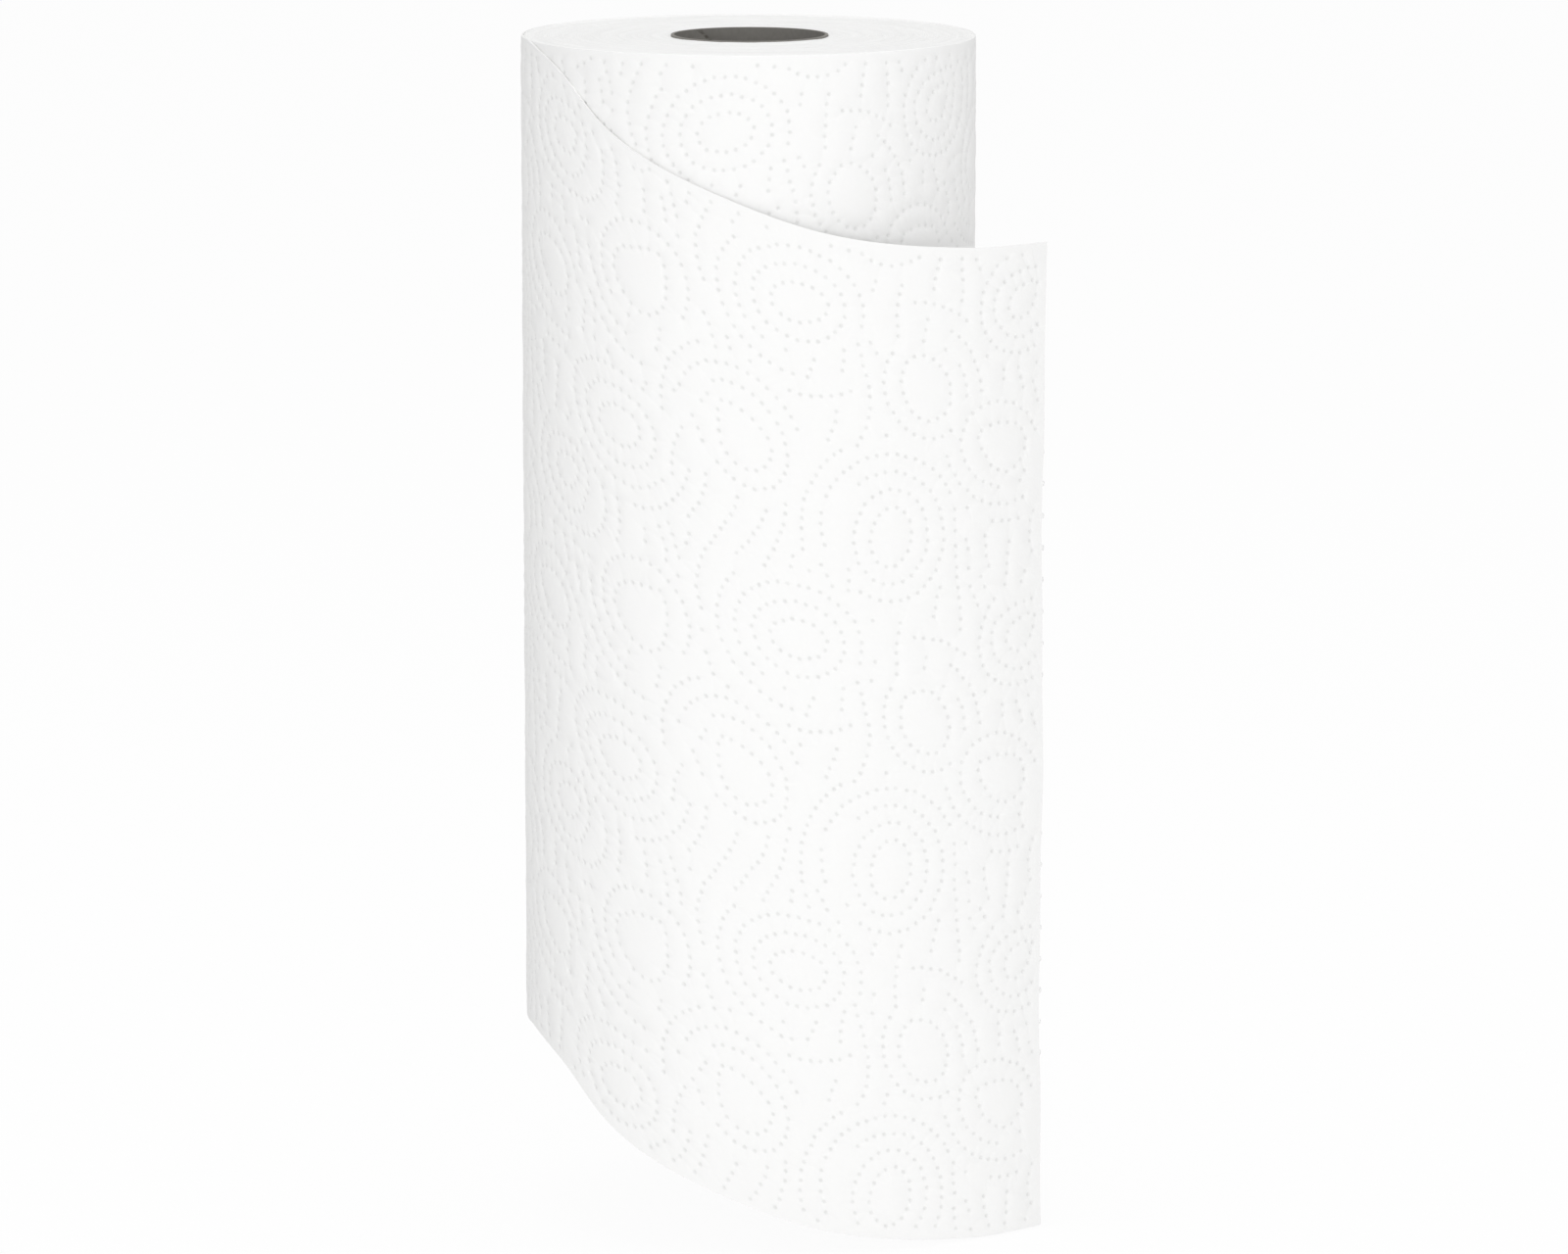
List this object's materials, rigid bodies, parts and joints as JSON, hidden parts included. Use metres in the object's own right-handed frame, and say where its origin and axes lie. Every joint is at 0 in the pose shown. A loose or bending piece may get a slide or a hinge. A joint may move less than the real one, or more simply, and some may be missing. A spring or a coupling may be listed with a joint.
{
  "type": "paper towel roll",
  "caption": "Upright roll of embossed white paper towels wound on a cardboard core, with its last sheet slipped down and curling loose at one side.",
  "frame": {"origin": "on the axis of the core, at the lower end of the wound roll", "axes": "+Z along the axis of the roll, up; the loose sheet comes from -X round the front (-Y) and ends in the air at +X; -Z is the way a holder's spindle leaves the core"},
  "size_m": [0.1454, 0.1277, 0.3336],
  "materials": {
    "core_board": "matte grey-brown chipboard",
    "towel_paper": "soft matte white embossed tissue"
  },
  "bodies": {
    "root": {"core_tube": "core_board", "towel_web": "towel_paper"}
  },
  "joints": []
}
